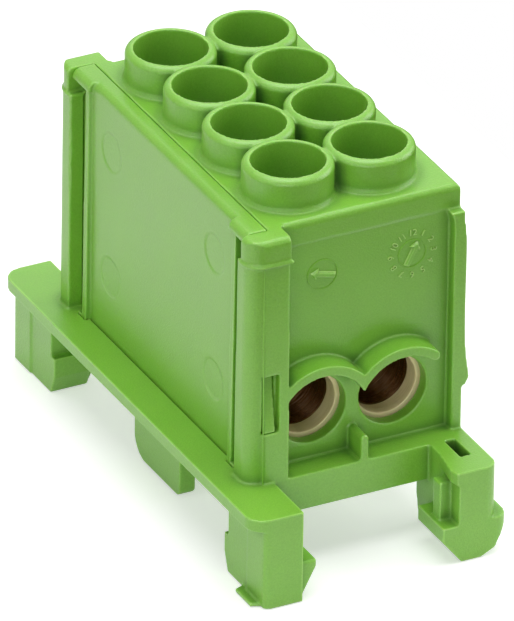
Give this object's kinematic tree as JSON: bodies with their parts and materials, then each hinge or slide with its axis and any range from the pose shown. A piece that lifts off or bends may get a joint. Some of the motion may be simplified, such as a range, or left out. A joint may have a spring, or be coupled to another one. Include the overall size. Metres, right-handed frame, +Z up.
{
  "type": "terminal block",
  "caption": "Moulded main-branch terminal block with a slide-in side cover and a brass body whose wire bores are clamped by screws reached through round shafts, on snap feet.",
  "frame": {"origin": "on the ground under the middle of the part's box", "axes": "+Z up, +Y along the wire bores towards the rear end, +X away from the side cover"},
  "size_m": [0.033, 0.0654, 0.0472],
  "materials": {
    "green_polyamide": "satin",
    "brass": "machined",
    "zinc_plated_steel": "satin"
  },
  "bodies": {
    "block": {"housing": "green_polyamide", "side_cover": "green_polyamide", "terminal_body": "brass"},
    "screw_1": {"clamp_screw_1": "zinc_plated_steel"},
    "screw_2": {"clamp_screw_2": "zinc_plated_steel"},
    "screw_3": {"clamp_screw_3": "zinc_plated_steel"},
    "screw_4": {"clamp_screw_4": "zinc_plated_steel"},
    "screw_5": {"clamp_screw_5": "zinc_plated_steel"},
    "screw_6": {"clamp_screw_6": "zinc_plated_steel"},
    "screw_7": {"clamp_screw_7": "zinc_plated_steel"},
    "screw_8": {"clamp_screw_8": "zinc_plated_steel"}
  },
  "joints": [
    {"name": "clamp_1", "type": "slide", "parent": "block", "child": "screw_1", "axis": [0, 0, -1], "range_m": [0, 0.0058]},
    {"name": "clamp_2", "type": "slide", "parent": "block", "child": "screw_2", "axis": [0, 0, -1], "range_m": [0, 0.0058]},
    {"name": "clamp_3", "type": "slide", "parent": "block", "child": "screw_3", "axis": [0, 0, -1], "range_m": [0, 0.0058]},
    {"name": "clamp_4", "type": "slide", "parent": "block", "child": "screw_4", "axis": [0, 0, -1], "range_m": [0, 0.0058]},
    {"name": "clamp_5", "type": "slide", "parent": "block", "child": "screw_5", "axis": [0, 0, -1], "range_m": [0, 0.0058]},
    {"name": "clamp_6", "type": "slide", "parent": "block", "child": "screw_6", "axis": [0, 0, -1], "range_m": [0, 0.0058]},
    {"name": "clamp_7", "type": "slide", "parent": "block", "child": "screw_7", "axis": [0, 0, -1], "range_m": [0, 0.0058]},
    {"name": "clamp_8", "type": "slide", "parent": "block", "child": "screw_8", "axis": [0, 0, -1], "range_m": [0, 0.0058]}
  ]
}
